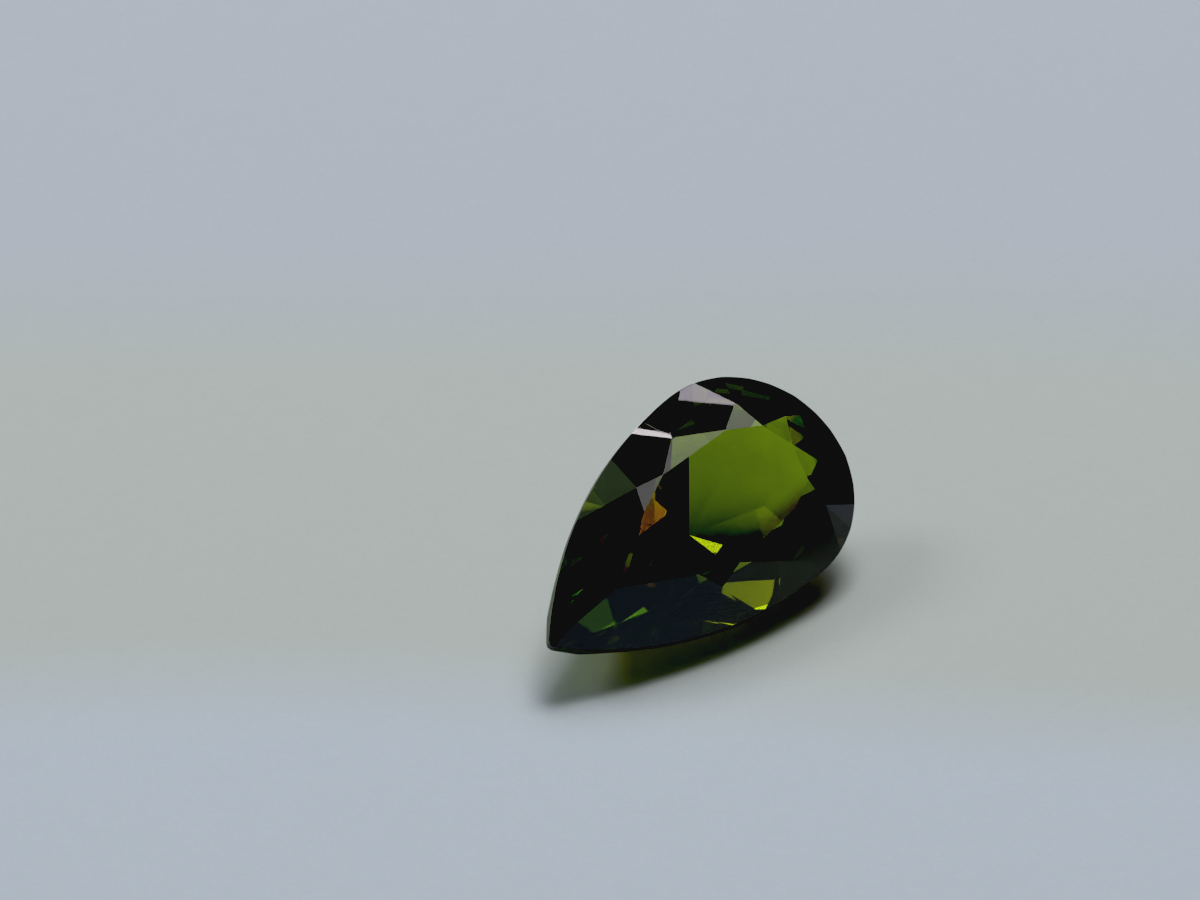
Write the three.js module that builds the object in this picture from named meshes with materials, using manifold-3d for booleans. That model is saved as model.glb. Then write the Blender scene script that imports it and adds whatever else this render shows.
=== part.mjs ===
// Pear-cut tourmaline: one faceted crystal that lies on a flank facet of its pavilion.
// Lengths are millimetres and angles are degrees.
// The stone is cut in its own frame: +X runs to the round head, -X to the point,
// +Z out of the table, and Z = 0 is the upper edge of the girdle.
// An azimuth is measured from +X towards +Y, which is the stone's left side.
// At the end the stone is turned so that its resting facet lies flat on Z = 0.
import * as THREE from "three";
import { mergeVertices } from "three/addons/utils/BufferGeometryUtils.js";
import Module from "manifold-3d";

// Girdle outline: half an ellipse for the head, and an arc for each flank
const STONE_WIDTH = 8;
const HEAD_DEPTH = 4.17;
const SHARP_POINT_REACH = 10.26;
const POINT_RADIUS = 0.25;
const GIRDLE_THICKNESS = 0.26;
const HEAD_STEPS = 28;
const FLANK_STEPS = 30;
const POINT_STEPS = 6;

// Heights above and below the upper edge of the girdle
const CROWN_HEIGHT = 1.36;
const CULET_DEPTH = 4.37;
const CULET_X = -1.96;

// Crown mains touch the upper edge of the girdle
const CROWN_MAINS = [
  { side: "centre", azimuth: 0, angle: 28.3 },
  { side: "left", azimuth: 39.4, angle: 29.2 },
  { side: "right", azimuth: -43, angle: 30.4 },
  { side: "both", azimuth: 79.7, angle: 31.3 },
  { side: "both", azimuth: 101.1, angle: 39.2 },
  { side: "both", azimuth: 116, angle: 37 },
  { side: "centre", azimuth: 180, angle: 34 },
];

// Each star slopes down from an edge of the table, which lies at this reach from the Z axis
const STARS = [
  { side: "left", azimuth: 19.8, angle: 22.8, reach: 1.54 },
  { side: "left", azimuth: 61.8, angle: 23, reach: 1.57 },
  { side: "both", azimuth: 86.9, angle: 24.8, reach: 1.79 },
  { side: "both", azimuth: 109.9, angle: 32.1, reach: 2.92 },
  { side: "right", azimuth: -19.3, angle: 19.5, reach: 1.55 },
  { side: "right", azimuth: -68.8, angle: 25.4, reach: 1.67 },
];

// Upper girdle facets touch the upper edge of the girdle
const UPPER_GIRDLE = [
  { side: "left", azimuth: 10.7, angle: 30.3 },
  { side: "left", azimuth: 28.8, angle: 30.8 },
  { side: "left", azimuth: 50.3, angle: 32.1 },
  { side: "left", azimuth: 68.8, angle: 33.2 },
  { side: "both", azimuth: 85.5, angle: 35 },
  { side: "both", azimuth: 95.3, angle: 40.1 },
  { side: "both", azimuth: 105.1, angle: 40.7 },
  { side: "both", azimuth: 112, angle: 39.6 },
  { side: "right", azimuth: -11.6, angle: 30.4 },
  { side: "right", azimuth: -31.4, angle: 31.5 },
  { side: "right", azimuth: -52.9, angle: 32.6 },
  { side: "right", azimuth: -69.8, angle: 33.2 },
  { side: "both", azimuth: 122, angle: 42 },
  { side: "both", azimuth: 129, angle: 40 },
];

// Pavilion mains all pass through the culet, and the stone lies on the right one of the resting pair
const RESTING_MAIN = { side: "both", azimuth: 104.2, angle: 37.6 };
const PAVILION_MAINS = [
  { side: "centre", azimuth: 0, angle: 26.5 },
  { side: "both", azimuth: 58.1, angle: 31.1 },
  { side: "both", azimuth: 89.5, angle: 36.9 },
  RESTING_MAIN,
  { side: "both", azimuth: 129.7, angle: 26.4 },
  { side: "both", azimuth: 167.8, angle: 18 },
];

// Lower girdle facets touch the lower edge of the girdle
const LOWER_GIRDLE = [
  { side: "both", azimuth: 23.1, angle: 42.8 },
  { side: "both", azimuth: 35, angle: 42.8 },
  { side: "both", azimuth: 70.6, angle: 51 },
  { side: "both", azimuth: 77, angle: 51 },
  { side: "both", azimuth: 95.3, angle: 70 },
  { side: "both", azimuth: 98.3, angle: 70 },
  { side: "both", azimuth: 114.3, angle: 50.6 },
  { side: "both", azimuth: 119.5, angle: 50.6 },
  { side: "both", azimuth: 144.9, angle: 35.2 },
  { side: "both", azimuth: 152.6, angle: 35.2 },
];

// Blocks and margins for the cutting, and the stone's colour
const CUTTER_SIZE = 60;
const PREFORM_MARGIN = 1;
const WELD_DISTANCE = 1e-6;
const STONE_COLOUR = 0x4c6b14;
const STONE_ROUGHNESS = 0.05;

const radians = THREE.MathUtils.degToRad;
const halfWidth = STONE_WIDTH / 2;
const flankRadius = (SHARP_POINT_REACH ** 2 + halfWidth ** 2) / STONE_WIDTH;
const flankCentreY = halfWidth - flankRadius;
const pointCentreX = -Math.sqrt((flankRadius - POINT_RADIUS) ** 2 - flankCentreY ** 2);
const pointStartAzimuth = 90 + THREE.MathUtils.radToDeg(Math.atan2(-pointCentreX, -flankCentreY));

// The place on the outline where a wall square to the azimuth touches it
function outlineTouch(azimuth) {
  const side = azimuth < 0 ? -1 : 1;
  const turn = radians(Math.abs(azimuth));
  const touch = new THREE.Vector2();
  if (Math.abs(azimuth) <= 90) {
    const reach = Math.hypot(HEAD_DEPTH * Math.cos(turn), halfWidth * Math.sin(turn));
    touch.set(HEAD_DEPTH ** 2 * Math.cos(turn) / reach, halfWidth ** 2 * Math.sin(turn) / reach);
  } else if (Math.abs(azimuth) <= pointStartAzimuth) {
    touch.set(flankRadius * Math.cos(turn), flankCentreY + flankRadius * Math.sin(turn));
  } else {
    touch.set(pointCentreX + POINT_RADIUS * Math.cos(turn), POINT_RADIUS * Math.sin(turn));
  }
  touch.y *= side;
  return touch;
}

// Closed outline of the girdle, counterclockwise from the front of the head
function girdleOutline() {
  const azimuths = [];
  for (let i = 0; i < HEAD_STEPS; i += 1) {
    azimuths.push(90 * i / HEAD_STEPS);
  }
  for (let i = 0; i < FLANK_STEPS; i += 1) {
    azimuths.push(90 + (pointStartAzimuth - 90) * i / FLANK_STEPS);
  }
  for (let i = 0; i <= POINT_STEPS; i += 1) {
    azimuths.push(pointStartAzimuth + (180 - pointStartAzimuth) * i / POINT_STEPS);
  }
  const left = azimuths.map(outlineTouch);
  const right = left.slice(1, -1).reverse().map((touch) => new THREE.Vector2(touch.x, -touch.y));
  return left.concat(right);
}

const UP = new THREE.Vector3(0, 0, 1);

// Outward direction of a facet: crown angles lean from +Z, pavilion angles from -Z
function facetNormal(azimuth, angle, vertical) {
  const turn = radians(azimuth);
  const lean = radians(angle);
  return new THREE.Vector3(
    Math.cos(turn) * Math.sin(lean),
    Math.sin(turn) * Math.sin(lean),
    vertical * Math.cos(lean),
  );
}

// A facet on both sides of the stone gives one azimuth for each
function facetAzimuths(facet) {
  return facet.side === "both" ? [facet.azimuth, -facet.azimuth] : [facet.azimuth];
}

// Every facet plane as an outward normal and one point on the plane
function facetPlanes() {
  const planes = [];
  const addRing = (facets, vertical, pointOnFacet) => {
    for (const facet of facets) {
      for (const azimuth of facetAzimuths(facet)) {
        const normal = facetNormal(azimuth, facet.angle, vertical);
        planes.push({ normal, point: pointOnFacet(facet, azimuth) });
      }
    }
  };
  const girdlePoint = (level) => (facet, azimuth) => {
    const touch = outlineTouch(azimuth);
    return new THREE.Vector3(touch.x, touch.y, level);
  };
  const tableEdgePoint = (facet, azimuth) => {
    const turn = radians(azimuth);
    return new THREE.Vector3(facet.reach * Math.cos(turn), facet.reach * Math.sin(turn), CROWN_HEIGHT);
  };
  const culet = new THREE.Vector3(CULET_X, 0, -CULET_DEPTH);
  planes.push({ normal: new THREE.Vector3(0, 0, 1), point: new THREE.Vector3(0, 0, CROWN_HEIGHT) });
  addRing(CROWN_MAINS, 1, girdlePoint(0));
  addRing(STARS, 1, tableEdgePoint);
  addRing(UPPER_GIRDLE, 1, girdlePoint(0));
  addRing(PAVILION_MAINS, -1, () => culet);
  addRing(LOWER_GIRDLE, -1, girdlePoint(-GIRDLE_THICKNESS));
  return planes;
}

// A solid that can be cut, from a closed three.js geometry
function toSolid(wasm, geometry) {
  geometry.deleteAttribute("normal");
  geometry.deleteAttribute("uv");
  const merged = mergeVertices(geometry, WELD_DISTANCE);
  const mesh = new wasm.Mesh({
    numProp: 3,
    vertProperties: new Float32Array(merged.attributes.position.array),
    triVerts: new Uint32Array(merged.index.array),
  });
  return new wasm.Manifold(mesh);
}

// A plain prism of the girdle outline, taller than the finished stone
function preform(wasm) {
  const height = CROWN_HEIGHT + CULET_DEPTH + 2 * PREFORM_MARGIN;
  const shape = new THREE.Shape(girdleOutline());
  const prism = new THREE.ExtrudeGeometry(shape, { depth: height, bevelEnabled: false });
  prism.translate(0, 0, -CULET_DEPTH - PREFORM_MARGIN);
  return toSolid(wasm, prism);
}

// A big block that stands outside one facet plane
function cutter(wasm, plane) {
  const block = new THREE.BoxGeometry(CUTTER_SIZE, CUTTER_SIZE, CUTTER_SIZE);
  block.translate(0, 0, CUTTER_SIZE / 2);
  block.applyQuaternion(new THREE.Quaternion().setFromUnitVectors(UP, plane.normal));
  block.translate(plane.point.x, plane.point.y, plane.point.z);
  return toSolid(wasm, block);
}

// The cut solid as a three.js geometry again
function toGeometry(solid) {
  const mesh = solid.getMesh();
  const positions = new Float32Array(mesh.numVert * 3);
  for (let i = 0; i < mesh.numVert; i += 1) {
    for (let axis = 0; axis < 3; axis += 1) {
      positions[3 * i + axis] = mesh.vertProperties[mesh.numProp * i + axis];
    }
  }
  const geometry = new THREE.BufferGeometry();
  geometry.setAttribute("position", new THREE.BufferAttribute(positions, 3));
  geometry.setIndex(new THREE.BufferAttribute(new Uint32Array(mesh.triVerts), 1));
  return geometry;
}

// Turn the stone so that the resting facet faces straight down and the head points along +X
function layDown(geometry) {
  const down = facetNormal(-RESTING_MAIN.azimuth, RESTING_MAIN.angle, -1);
  const settle = new THREE.Quaternion().setFromUnitVectors(down, UP.clone().negate());
  const head = new THREE.Vector3(1, 0, 0).applyQuaternion(settle);
  const swing = new THREE.Quaternion().setFromAxisAngle(UP, -Math.atan2(head.y, head.x));
  geometry.applyQuaternion(swing.multiply(settle));
  geometry.computeBoundingBox();
  const box = geometry.boundingBox;
  geometry.translate(-(box.min.x + box.max.x) / 2, -(box.min.y + box.max.y) / 2, -box.min.z);
  return geometry;
}

const wasm = await Module();
wasm.setup();

let stone = preform(wasm);
for (const plane of facetPlanes()) {
  stone = stone.subtract(cutter(wasm, plane));
}

const material = new THREE.MeshStandardMaterial({
  color: STONE_COLOUR,
  roughness: STONE_ROUGHNESS,
  metalness: 0,
});
const facets = layDown(toGeometry(stone)).toNonIndexed();
facets.computeVertexNormals();
const tourmaline = new THREE.Mesh(facets, material);
tourmaline.name = "tourmaline";

const part = new THREE.Group();
part.name = "tourmaline_gemstone";
part.add(tourmaline);

export default part;
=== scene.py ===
"""A green pear-cut tourmaline lying on pale paper under a soft studio light."""

import math

import bpy
from mathutils import Matrix, Vector

bl_info = {
    "name": "Tourmaline gemstone",
    "version": (1, 0, 0),
    "blender": (4, 5, 0),
    "location": "3D View > Sidebar > Tourmaline",
    "description": "Dresses the faceted tourmaline and sets its paper, light and camera",
    "category": "Object",
}

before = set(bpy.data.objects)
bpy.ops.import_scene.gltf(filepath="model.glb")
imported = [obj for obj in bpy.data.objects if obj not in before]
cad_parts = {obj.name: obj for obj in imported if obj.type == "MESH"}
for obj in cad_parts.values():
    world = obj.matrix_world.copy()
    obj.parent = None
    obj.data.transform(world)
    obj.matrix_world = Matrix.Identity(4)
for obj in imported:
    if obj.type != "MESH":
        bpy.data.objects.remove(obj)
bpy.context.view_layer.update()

STONE = "tourmaline"

# The frame in which the stone was cut: +Z out of the table, +X to the head, Z = 0 on the girdle's
# upper edge
CUT_TO_PART = Matrix((
    (0.988736, -0.089541, -0.119935, 0.0029153),
    (0.0, 0.801316, -0.598241, -0.0002393),
    (0.149673, 0.591502, 0.79229, 0.0037557),
    (0.0, 0.0, 0.0, 1.0),
))
PART_TO_CUT = CUT_TO_PART.inverted()

# The camera: its azimuth from the stone, its place, the azimuth and elevation that its back turns
# to, and its lens and sensor in millimetres
CAMERA_AZIMUTH = -139.03
CAMERA_PLACE = (-0.141264, -0.121747, 0.128125)
CAMERA_BACK = (-138.353, 33.115)
CAMERA_LENS = 196.67
CAMERA_SENSOR = 36.0
CAMERA_NEAR = 0.01
CAMERA_FAR = 20.0

# Noise scales of the crystal, per metre: two kinds of cloudiness, the girdle's grit, and dust
CLOUD_SCALE = 260.0
VEIL_SCALE = 750.0
GRIT_SCALE = 9000.0
DUST_SCALE = 5200.0

# Edges in the cut frame, each with the width of its soft step, in metres. "Side" is measured to
# the right of the stone's middle line, "end" towards the head unless it says point
HEAD_BLEND = (-0.003, 0.009)
BELOW_GIRDLE = (0.0003, 0.0002)
# The green and warm zones below are painted light in the crystal's tint, and the dark zones are
# painted shade
GREEN_SIDE = (-0.0007, 0.0002)
GREEN_END = (0.0024, 0.0003)
WARM_SIDE = (0.0017, 0.0003)
WARM_END = (-0.0003, 0.0006)
DARK_FLANK_SIDE = (0.0013, 0.0006)
DARK_POINT_SIDE = (0.0003, 0.0005)
DARK_POINT_END = (0.0020, 0.0006)
DARK_HEAD_SIDE = (0.0020, 0.0006)
DARK_HEAD_END = (0.0012, 0.0008)
# How far the green zone's end leans over to the right
GREEN_SLANT = 0.35

# Cloudiness: how far it shifts the blend of the two tints, and how dark and strong the veils are
CLOUD_SHIFT = 0.004
VEIL_EDGE = (0.5, 0.5)
VEIL_SHADE = 0.76
VEIL_STRENGTH = 0.6

# Polish: its roughness, that of a speck of dust, the noise value above which there is dust, and
# how the girdle's roughness follows its grit
POLISH = 0.006
DUST_ROUGHNESS = 0.10
DUST_EDGE = (0.74, 0.03)
GRIT_LEAST = 0.7
GRIT_SPREAD = 0.6
GIRDLE_SOFTNESS = 0.12
GIRDLE_BUMP = (0.08, 0.00001)

# Noise scales of the paper, per metre
TOOTH_SCALE = 5200.0
FIBRE_SCALE = 900.0
DRIFT_SCALE = 16.0

# Painted light and shade on the paper change along this azimuth, in the part's frame,
# which points away from the camera. The painted light on the near side of the stone and beyond
# it, and the painted shade far from it, are factors, and the edges of those parts are in metres
# with the widths of their soft steps
PAINTED_LIGHT_AZIMUTH = 40.97
FRONT_PAINTED_LIGHT = (1.05, 1.08, 1.25)
BACK_PAINTED_LIGHT = (0.99, 0.99, 1.14)
FAR_PAINTED_SHADE = (0.35, 0.35, 0.35)
FRONT_EDGE = (-0.005, 0.007)
BACK_EDGE = (0.018, 0.012)
FAR_EDGE = (0.090, 0.090)
DRIFT_SHIFT = 0.01

# The paper's marks: their colour and how strongly the tooth and the fibres show it
MARK_COLOUR = (0.3, 0.32, 0.33)
TOOTH_MARK = 0.12
FIBRE_MARK = 0.06
PAPER_ROUGHNESS = 0.9
PAPER_SPECULAR = 0.1
PAPER_BUMP = (0.25, 0.00003)

# Each light: its direction from the stone as photo_direction takes it, its half width in degrees,
# and its colour
WHITE = (1.0, 1.0, 1.0)
TOP_BOX = ((68, 74), 12, WHITE)
SIDE_BOX = ((167, 44), 9, WHITE)
FRONT_CARD = ((303, 75.5), 3.2, WHITE)
FILL_CARD = ((127, 50.5), 6, (0.75, 1.0, 0.65))
GLINT_CARD = ((87, 42.75), 2.5, (0.95, 0.87, 1.0))
SLIVER_CARD = ((109.35, 45.14), 1.4, (1.0, 0.92, 0.97))
UPRIGHT = Vector((0, 0, 1))

# The sliver card is turned so that its up points here, and is this much brighter than the glint
SLIVER_UP = (110.0, 45.7)
SLIVER_GAIN = 2

# The back softbox: two directions through which its lower edge runs, its middle along that edge,
# and its half width in degrees
BACK_EDGE_ENDS = ((64.2, 42.9), (85.5, 46.6))
BACK_BOX_MIDDLE = (82, 46)
BACK_BOX_HALF = 20

ROOM_COLOUR = (0.95, 0.98, 1.0, 1.0)

# Light below the black level is lost, and the darkest tone of the picture is a little above black
BLACK_LEVEL = 0.026
DARKEST_TONE = 0.0045
COMBINED_CURVE = 3


def opaque(colour):
    return (*colour, 1.0)


def scaled(colour, factors):
    """A colour with each channel multiplied by its factor."""
    return tuple(channel * factor for channel, factor in zip(colour, factors))


def direction(azimuth, elevation):
    """A unit vector at an azimuth and an elevation in degrees, in the part's frame."""
    turn, lift = math.radians(azimuth), math.radians(elevation)
    return Vector((
        math.cos(turn) * math.cos(lift), math.sin(turn) * math.cos(lift), math.sin(lift),
    ))


def photo_direction(azimuth, elevation):
    """A direction from the stone: azimuth 0 is to the camera's right and 90 straight away."""
    return direction(azimuth + CAMERA_AZIMUTH + 90, elevation)


class Sock:
    """A shader socket that takes arithmetic: each operator adds one Math node."""

    def __init__(self, tree, socket):
        self.tree = tree
        self.socket = socket

    def math(self, operation, *others):
        return self.tree.node("ShaderNodeMath", {"operation": operation}, self, *others)

    def __add__(self, other):
        return self.math("ADD", other)

    def __radd__(self, other):
        return self.math("ADD", other)

    def __sub__(self, other):
        return self.math("SUBTRACT", other)

    def __rsub__(self, other):
        return self.tree.node("ShaderNodeMath", {"operation": "SUBTRACT"}, other, self)

    def __mul__(self, other):
        return self.math("MULTIPLY", other)

    def __rmul__(self, other):
        return self.math("MULTIPLY", other)

    def __pow__(self, other):
        return self.math("POWER", other)

    def above(self, edge, softness):
        """0 below the edge and 1 above it, with a soft step between."""
        low, high = edge - softness / 2, edge + softness / 2
        return self.tree.node(
            "ShaderNodeMapRange",
            {"interpolation_type": "SMOOTHSTEP", "clamp": True},
            self, low, high, 0.0, 1.0,
        )


class Shader:
    """A material's node tree, built one call at a time."""

    def __init__(self, name):
        self.material = bpy.data.materials.new(name)
        self.material.use_nodes = True
        self.nodes = self.material.node_tree.nodes
        self.links = self.material.node_tree.links
        self.nodes.clear()
        self.output = self.nodes.new("ShaderNodeOutputMaterial")
        self.output.location = (600, 0)
        self.column = 0

    def make(self, kind, settings, values, named):
        """Adds a node, sets it up, and feeds its inputs in order and by name."""
        made = self.nodes.new(kind)
        self.column += 1
        made.location = (-220 * self.column, -120 * (self.column % 4))
        for key, value in settings.items():
            setattr(made, key, value)
        open_inputs = [socket for socket in made.inputs if socket.enabled]
        for socket, value in zip(open_inputs, values):
            self.feed(socket, value)
        for key, value in named.items():
            self.feed(made.inputs[key], value)
        return made

    def node(self, kind, settings, *values, out=None, **named):
        """Adds a node and returns one of its outputs."""
        made = self.make(kind, settings, values, named)
        outputs = [socket for socket in made.outputs if socket.enabled]
        return Sock(self, made.outputs[out] if out is not None else outputs[0])

    def feed(self, socket, value):
        if isinstance(value, Sock):
            self.links.new(value.socket, socket)
        else:
            socket.default_value = value

    def coordinates(self, matrix=None):
        """Object coordinates in metres, turned into another frame where a matrix is given."""
        place = self.node("ShaderNodeTexCoord", {}, out="Object")
        if matrix is None:
            return place
        loc, rot, _ = matrix.decompose()
        return self.node(
            "ShaderNodeMapping",
            {"vector_type": "POINT"},
            place, tuple(loc), tuple(rot.to_euler("XYZ")), (1.0, 1.0, 1.0),
        )

    def split(self, vector):
        """The X, Y and Z of a vector."""
        made = self.make("ShaderNodeSeparateXYZ", {}, (vector,), {})
        return tuple(Sock(self, made.outputs[axis]) for axis in "XYZ")

    def noise(self, vector, scale, detail=2.0, roughness=0.5, distortion=0.0):
        return self.node(
            "ShaderNodeTexNoise", {"noise_dimensions": "3D"}, out="Fac",
            Vector=vector, Scale=scale, Detail=detail, Roughness=roughness, Distortion=distortion,
        )

    def blend(self, factor, first, second):
        """A colour between two colours."""
        made = self.nodes.new("ShaderNodeMix")
        made.data_type = "RGBA"
        self.feed(made.inputs["Factor"], factor)
        self.feed(made.inputs["A"], first)
        self.feed(made.inputs["B"], second)
        return Sock(self, made.outputs["Result"])

    def bump(self, height, strength, distance):
        return self.node(
            "ShaderNodeBump", {}, out="Normal",
            Strength=strength, Distance=distance, Height=height,
        )


class StoneSettings(bpy.types.PropertyGroup):
    """The crystal's colour and polish, with tints that paint light and shade."""

    head_tint: bpy.props.FloatVectorProperty(
        name="Head tint", description="Colour that the facets give the light at the round head",
        subtype="COLOR", size=3, min=0.0, max=1.0, default=(0.64, 1.0, 0.42),
    )
    point_tint: bpy.props.FloatVectorProperty(
        name="Point tint", description="Colour that the facets give the light at the point",
        subtype="COLOR", size=3, min=0.0, max=1.0, default=(0.33, 0.74, 0.22),
    )
    # Painted shade: a dark tint on the light through the pavilion's right flank and point and the
    # crown's right side at the head, which darkens the stone's shadow and those facets
    painted_shade_tint: bpy.props.FloatVectorProperty(
        name="Dark zone",
        description="Colour that the facets give the light at the right flank and the point",
        subtype="COLOR", size=3, min=0.0, max=1.0, default=(0.18, 0.115, 0.03),
    )
    # Painted light: this tint colours light through the crown's round end, to paint dark green
    # patches of light in the stone
    painted_green_light: bpy.props.FloatVectorProperty(
        name="Green zone",
        description="Colour that the facets give the light at the round end of the crown",
        subtype="COLOR", size=3, min=0.0, max=1.0, default=(0.03, 0.23, 0.08),
    )
    # Painted light: this tint colours light through the crown at the right of the table orange, to
    # paint an orange patch of light
    painted_warm_light: bpy.props.FloatVectorProperty(
        name="Warm zone",
        description="Colour that the facets give the light at the right of the table",
        subtype="COLOR", size=3, min=0.0, max=1.0, default=(0.24, 0.05, 0.01),
    )
    absorbed_colour: bpy.props.FloatVectorProperty(
        name="Body colour", description="Colour that is left of white light deep in the crystal",
        subtype="COLOR", size=3, min=0.0, max=1.0, default=(0.836, 0.814, 0.0),
    )
    absorption: bpy.props.FloatProperty(
        name="Depth of colour", description="Strength of the crystal's colour per metre",
        min=0.0, soft_max=2000.0, default=1100.0,
    )
    refraction: bpy.props.FloatProperty(
        name="Refractive index", description="Refractive index of tourmaline",
        min=1.0, max=3.0, default=1.63,
    )
    girdle_thickness: bpy.props.FloatProperty(
        name="Girdle thickness", description="Width of the frosted band round the stone",
        unit="LENGTH", min=0.0, precision=5, default=0.00026,
    )
    girdle_frost: bpy.props.FloatProperty(
        name="Girdle frost", description="Roughness of the band round the stone",
        min=0.0, max=1.0, default=0.3,
    )


class StudioSettings(bpy.types.PropertyGroup):
    """The paper, the light and the camera."""

    paper_colour: bpy.props.FloatVectorProperty(
        name="Paper colour", description="Colour of the pale paper",
        subtype="COLOR", size=3, min=0.0, max=1.0, default=(0.63, 0.685, 0.665),
    )
    paper_size: bpy.props.FloatProperty(
        name="Paper size", description="Side of the square sheet",
        unit="LENGTH", min=0.01, default=4.0,
    )
    light_distance: bpy.props.FloatProperty(
        name="Light distance", description="Distance of the soft lights from the stone",
        unit="LENGTH", min=0.1, default=0.5,
    )
    back_light: bpy.props.FloatProperty(
        name="Back light", description="Brightness of the soft light behind the stone",
        min=0.0, default=1.6,
    )
    top_light: bpy.props.FloatProperty(
        name="Top light", description="Brightness of the soft light high above the stone",
        min=0.0, default=6.7,
    )
    side_light: bpy.props.FloatProperty(
        name="Side light", description="Brightness of the soft light to the left of the stone",
        min=0.0, default=4.8,
    )
    front_light: bpy.props.FloatProperty(
        name="Front light", description="Brightness of the small light high above the viewer",
        min=0.0, default=1.9,
    )
    fill_light: bpy.props.FloatProperty(
        name="Fill light", description="Brightness of the dim light behind the stone's left",
        min=0.0, default=0.70,
    )
    glint_light: bpy.props.FloatProperty(
        name="Glint light", description="Brightness of the small light that one facet mirrors",
        min=0.0, default=4.0,
    )
    room_light: bpy.props.FloatProperty(
        name="Room light", description="Brightness of the dim room",
        min=0.0, default=0.03,
    )
    lens: bpy.props.FloatProperty(
        name="Lens", description="Focal length of the camera in millimetres",
        min=10.0, default=CAMERA_LENS,
    )


def crystal_tint(shader, settings, cut, along, right, height):
    """The colour that the facets give the light: paler at the head, with two zones of painted
    light and one of painted shade.
    """
    cloud = shader.noise(cut, CLOUD_SCALE, detail=3.0)
    veil = shader.noise(cut, VEIL_SCALE, detail=2.0, distortion=0.6)
    towards_head = (along + (cloud - 0.5) * CLOUD_SHIFT).above(*HEAD_BLEND)
    tint = shader.blend(towards_head, opaque(settings.point_tint), opaque(settings.head_tint))
    veiled = scaled(settings.head_tint, (VEIL_SHADE, VEIL_SHADE, VEIL_SHADE))
    veils = veil.above(*VEIL_EDGE) * towards_head * VEIL_STRENGTH
    tint = shader.blend(veils, tint, opaque(veiled))

    pavilion = (0 - height).above(*BELOW_GIRDLE)
    crown = 1 - pavilion
    # Painted light: the green zone that paints dark green patches of light
    green = crown * right.above(*GREEN_SIDE) * (along + right * GREEN_SLANT).above(*GREEN_END)
    # Painted light: the warm zone that paints an orange patch of light
    warm = crown * right.above(*WARM_SIDE) * along.above(*WARM_END)
    # Painted shade: the dark zone at the pavilion's right flank and point and at the crown's right
    # side at the head
    flank = right.above(*DARK_FLANK_SIDE)
    point = right.above(*DARK_POINT_SIDE) * (0 - along).above(*DARK_POINT_END)
    head = crown * right.above(*DARK_HEAD_SIDE) * along.above(*DARK_HEAD_END)
    dark = (pavilion * flank.math("MAXIMUM", point)).math("MAXIMUM", head)
    tint = shader.blend(green, tint, opaque(settings.painted_green_light))
    tint = shader.blend(warm, tint, opaque(settings.painted_warm_light))
    return shader.blend(dark, tint, opaque(settings.painted_shade_tint))


def tourmaline_material(settings):
    """Clear green crystal with polished facets and a frosted girdle."""
    shader = Shader("green tourmaline")
    cut = shader.coordinates(PART_TO_CUT)
    along, left, height = shader.split(cut)
    tint = crystal_tint(shader, settings, cut, along, 0 - left, height)

    soft = settings.girdle_thickness * GIRDLE_SOFTNESS
    band = height.above(-settings.girdle_thickness, soft) * (1 - height.above(0.0, soft))
    grit = shader.noise(cut, GRIT_SCALE, detail=2.0)
    dust = shader.noise(cut, DUST_SCALE, detail=1.0).above(*DUST_EDGE)
    frost = settings.girdle_frost * (GRIT_LEAST + grit * GRIT_SPREAD)
    surface = shader.node(
        "ShaderNodeBsdfPrincipled", {}, out="BSDF",
        **{
            "Base Color": tint,
            "Roughness": POLISH + dust * DUST_ROUGHNESS + band * frost,
            "IOR": settings.refraction,
            "Transmission Weight": 1.0,
            "Normal": shader.bump(grit * band, *GIRDLE_BUMP),
        },
    )
    body = shader.node(
        "ShaderNodeVolumeAbsorption", {}, out="Volume",
        Color=opaque(settings.absorbed_colour), Density=settings.absorption,
    )
    shader.feed(shader.output.inputs["Surface"], surface)
    shader.feed(shader.output.inputs["Volume"], body)
    return shader.material


def paper_material(settings):
    """Pale matt paper with a faint tooth; painted light makes it cooler on its near side and
    beyond the stone, and painted shade dims it far out.
    """
    shader = Shader("pale paper")
    place = shader.coordinates()
    tooth = shader.noise(place, TOOTH_SCALE, detail=4.0, roughness=0.6)
    fibres = shader.noise(place, FIBRE_SCALE, detail=3.0, distortion=1.5)
    drift = shader.noise(place, DRIFT_SCALE, detail=1.0)
    east, north, _ = shader.split(place)
    turn = math.radians(PAINTED_LIGHT_AZIMUTH)
    away = east * math.cos(turn) + north * math.sin(turn) + (drift - 0.5) * DRIFT_SHIFT
    from_stone = (east ** 2 + north ** 2) ** 0.5
    near = settings.paper_colour
    # Painted light and shade on the paper: lighter and cooler on the near side, cooler beyond the
    # stone, darker far out
    base = shader.blend(
        away.above(*FRONT_EDGE), opaque(scaled(near, FRONT_PAINTED_LIGHT)), opaque(near),
    )
    base = shader.blend(away.above(*BACK_EDGE), base, opaque(scaled(near, BACK_PAINTED_LIGHT)))
    base = shader.blend(from_stone.above(*FAR_EDGE), base, opaque(scaled(near, FAR_PAINTED_SHADE)))
    marks = tooth * TOOTH_MARK + fibres * FIBRE_MARK
    surface = shader.node(
        "ShaderNodeBsdfPrincipled", {}, out="BSDF",
        **{
            "Base Color": shader.blend(marks, base, opaque(MARK_COLOUR)),
            "Roughness": PAPER_ROUGHNESS,
            "Specular IOR Level": PAPER_SPECULAR,
            "Normal": shader.bump(tooth + fibres, *PAPER_BUMP),
        },
    )
    shader.feed(shader.output.inputs["Surface"], surface)
    return shader.material


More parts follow.
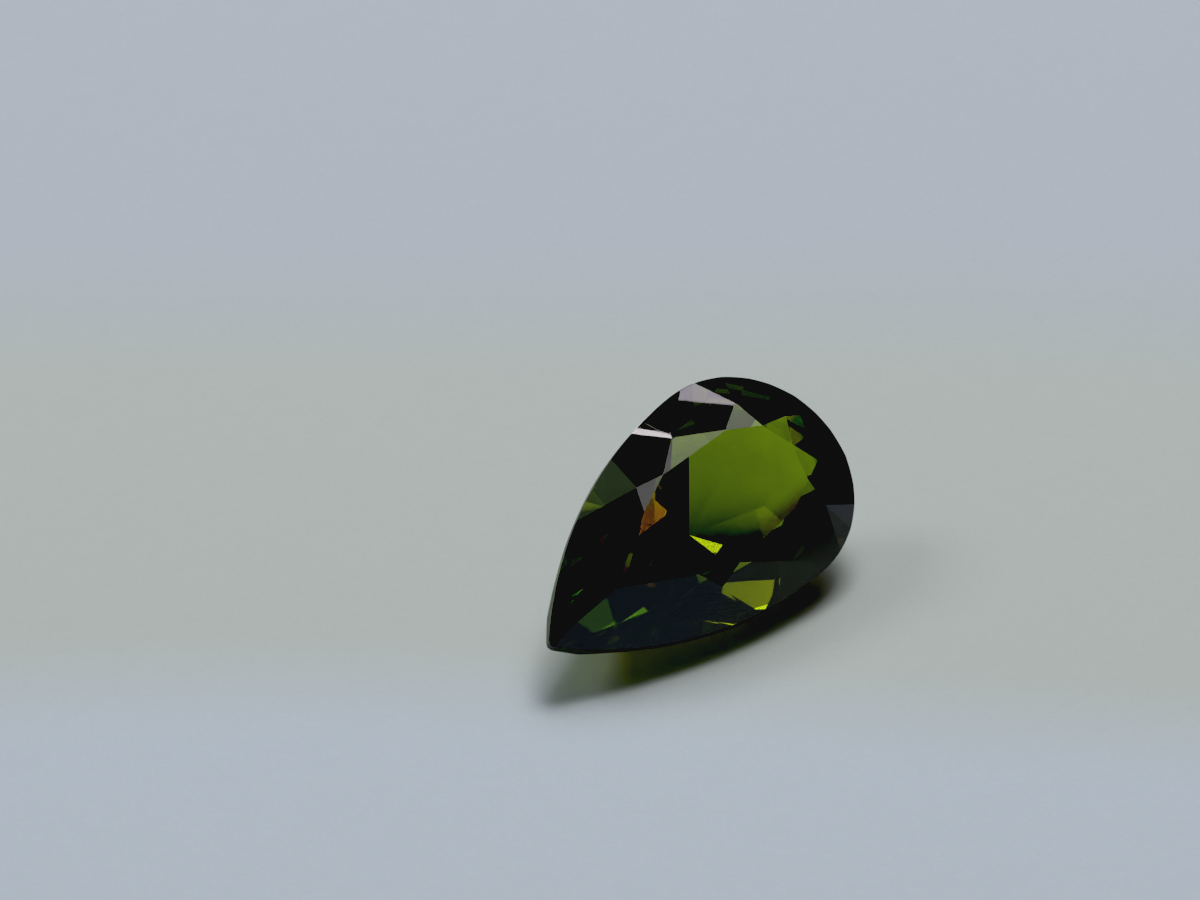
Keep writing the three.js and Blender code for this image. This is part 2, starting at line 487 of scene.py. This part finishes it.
def soft_light(name, centre, up, half_angle, distance, brightness, colour):
    """A square light that faces the stone, with a given brightness of its surface."""
    side_length = 2 * distance * math.tan(math.radians(half_angle))
    light = bpy.data.lights.new(name, "AREA")
    light.shape = "SQUARE"
    light.size = side_length
    light.energy = brightness * math.pi * side_length ** 2
    light.color = colour
    lamp = bpy.data.objects.new(name, light)
    bpy.context.scene.collection.objects.link(lamp)
    back = centre.normalized()
    top = (up - back * up.dot(back)).normalized()
    side = top.cross(back)
    turn = Matrix((side, top, back)).transposed().to_4x4()
    lamp.matrix_world = Matrix.Translation(back * distance) @ turn
    lamp.visible_camera = False


def back_softbox_place():
    """The direction of the back softbox's centre, and its up, which its lower edge sets."""
    first, second = (photo_direction(*end) for end in BACK_EDGE_ENDS)
    up = first.cross(second).normalized()
    if up.z < 0:
        up.negate()
    middle = photo_direction(*BACK_BOX_MIDDLE)
    middle = (middle - up * middle.dot(up)).normalized()
    half = math.radians(BACK_BOX_HALF)
    return middle * math.cos(half) + up * math.sin(half), up


class DressStone(bpy.types.Operator):
    """Give the faceted stone its crystal"""

    bl_idname = "tourmaline.dress_stone"
    bl_label = "Crystal"

    def execute(self, context):
        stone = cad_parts[STONE]
        stone.data.materials.clear()
        stone.data.materials.append(tourmaline_material(context.scene.tourmaline_stone))
        return {"FINISHED"}


class SetStudio(bpy.types.Operator):
    """Lay the paper and set the light and the camera"""

    bl_idname = "tourmaline.set_studio"
    bl_label = "Paper, light and camera"

    def execute(self, context):
        settings = context.scene.tourmaline_studio
        self.lay_paper(settings)
        self.set_lights(settings)
        self.set_room(context.scene, settings)
        self.set_tone(context.scene.view_settings)
        self.set_camera(context.scene, settings)
        return {"FINISHED"}

    def lay_paper(self, settings):
        half = settings.paper_size / 2
        corners = [(-half, -half, 0), (half, -half, 0), (half, half, 0), (-half, half, 0)]
        mesh = bpy.data.meshes.new("paper")
        mesh.from_pydata(corners, [], [(0, 1, 2, 3)])
        mesh.materials.append(paper_material(settings))
        paper = bpy.data.objects.new("paper", mesh)
        bpy.context.scene.collection.objects.link(paper)

    def set_lights(self, settings):
        reach = settings.light_distance
        centre, up = back_softbox_place()
        soft_light("back softbox", centre, up, BACK_BOX_HALF, reach, settings.back_light, WHITE)
        for name, (place, half_angle, colour), brightness in (
            ("top softbox", TOP_BOX, settings.top_light),
            ("side softbox", SIDE_BOX, settings.side_light),
            ("front card", FRONT_CARD, settings.front_light),
            ("fill card", FILL_CARD, settings.fill_light),
            ("glint card", GLINT_CARD, settings.glint_light),
        ):
            centre = photo_direction(*place)
            soft_light(name, centre, UPRIGHT, half_angle, reach, brightness, colour)
        place, half_angle, colour = SLIVER_CARD
        centre = photo_direction(*place)
        up = photo_direction(*SLIVER_UP) - centre
        brightness = settings.glint_light * SLIVER_GAIN
        soft_light("sliver card", centre, up, half_angle, reach, brightness, colour)

    def set_room(self, scene, settings):
        world = bpy.data.worlds.new("dim room")
        world.use_nodes = True
        background = world.node_tree.nodes["Background"]
        background.inputs["Color"].default_value = ROOM_COLOUR
        background.inputs["Strength"].default_value = settings.room_light
        scene.world = world

    def set_tone(self, tone):
        """The deep but not quite black shadows of a studio photograph."""
        tone.view_transform = "Standard"
        tone.use_curve_mapping = True
        curves = tone.curve_mapping
        curves.extend = "HORIZONTAL"
        curves.black_level = (BLACK_LEVEL, BLACK_LEVEL, BLACK_LEVEL)
        curves.curves[COMBINED_CURVE].points[0].location = (0.0, DARKEST_TONE)
        curves.update()

    def set_camera(self, scene, settings):
        data = bpy.data.cameras.new("camera")
        data.lens = settings.lens
        data.sensor_width = CAMERA_SENSOR
        data.clip_start = CAMERA_NEAR
        data.clip_end = CAMERA_FAR
        camera = bpy.data.objects.new("camera", data)
        scene.collection.objects.link(camera)
        camera.rotation_euler = direction(*CAMERA_BACK).to_track_quat("Z", "Y").to_euler()
        camera.location = CAMERA_PLACE
        scene.camera = camera


class TourmalinePanel(bpy.types.Panel):
    """Lists the crystal and the studio"""

    bl_idname = "VIEW3D_PT_tourmaline"
    bl_label = "Tourmaline gemstone"
    bl_space_type = "VIEW_3D"
    bl_region_type = "UI"
    bl_category = "Tourmaline"

    def draw(self, context):
        for title, group, operator in (
            ("Crystal", context.scene.tourmaline_stone, DressStone),
            ("Studio", context.scene.tourmaline_studio, SetStudio),
        ):
            box = self.layout.box()
            box.label(text=title)
            for name in group.bl_rna.properties.keys():
                if name not in {"rna_type", "name"}:
                    box.prop(group, name)
            box.operator(operator.bl_idname)


CLASSES = (StoneSettings, StudioSettings, DressStone, SetStudio, TourmalinePanel)


def register():
    for kind in CLASSES:
        bpy.utils.register_class(kind)
    bpy.types.Scene.tourmaline_stone = bpy.props.PointerProperty(type=StoneSettings)
    bpy.types.Scene.tourmaline_studio = bpy.props.PointerProperty(type=StudioSettings)


def unregister():
    del bpy.types.Scene.tourmaline_studio
    del bpy.types.Scene.tourmaline_stone
    for kind in reversed(CLASSES):
        bpy.utils.unregister_class(kind)


def main():
    register()
    bpy.ops.tourmaline.dress_stone()
    bpy.ops.tourmaline.set_studio()


if __name__ == "__main__":
    main()
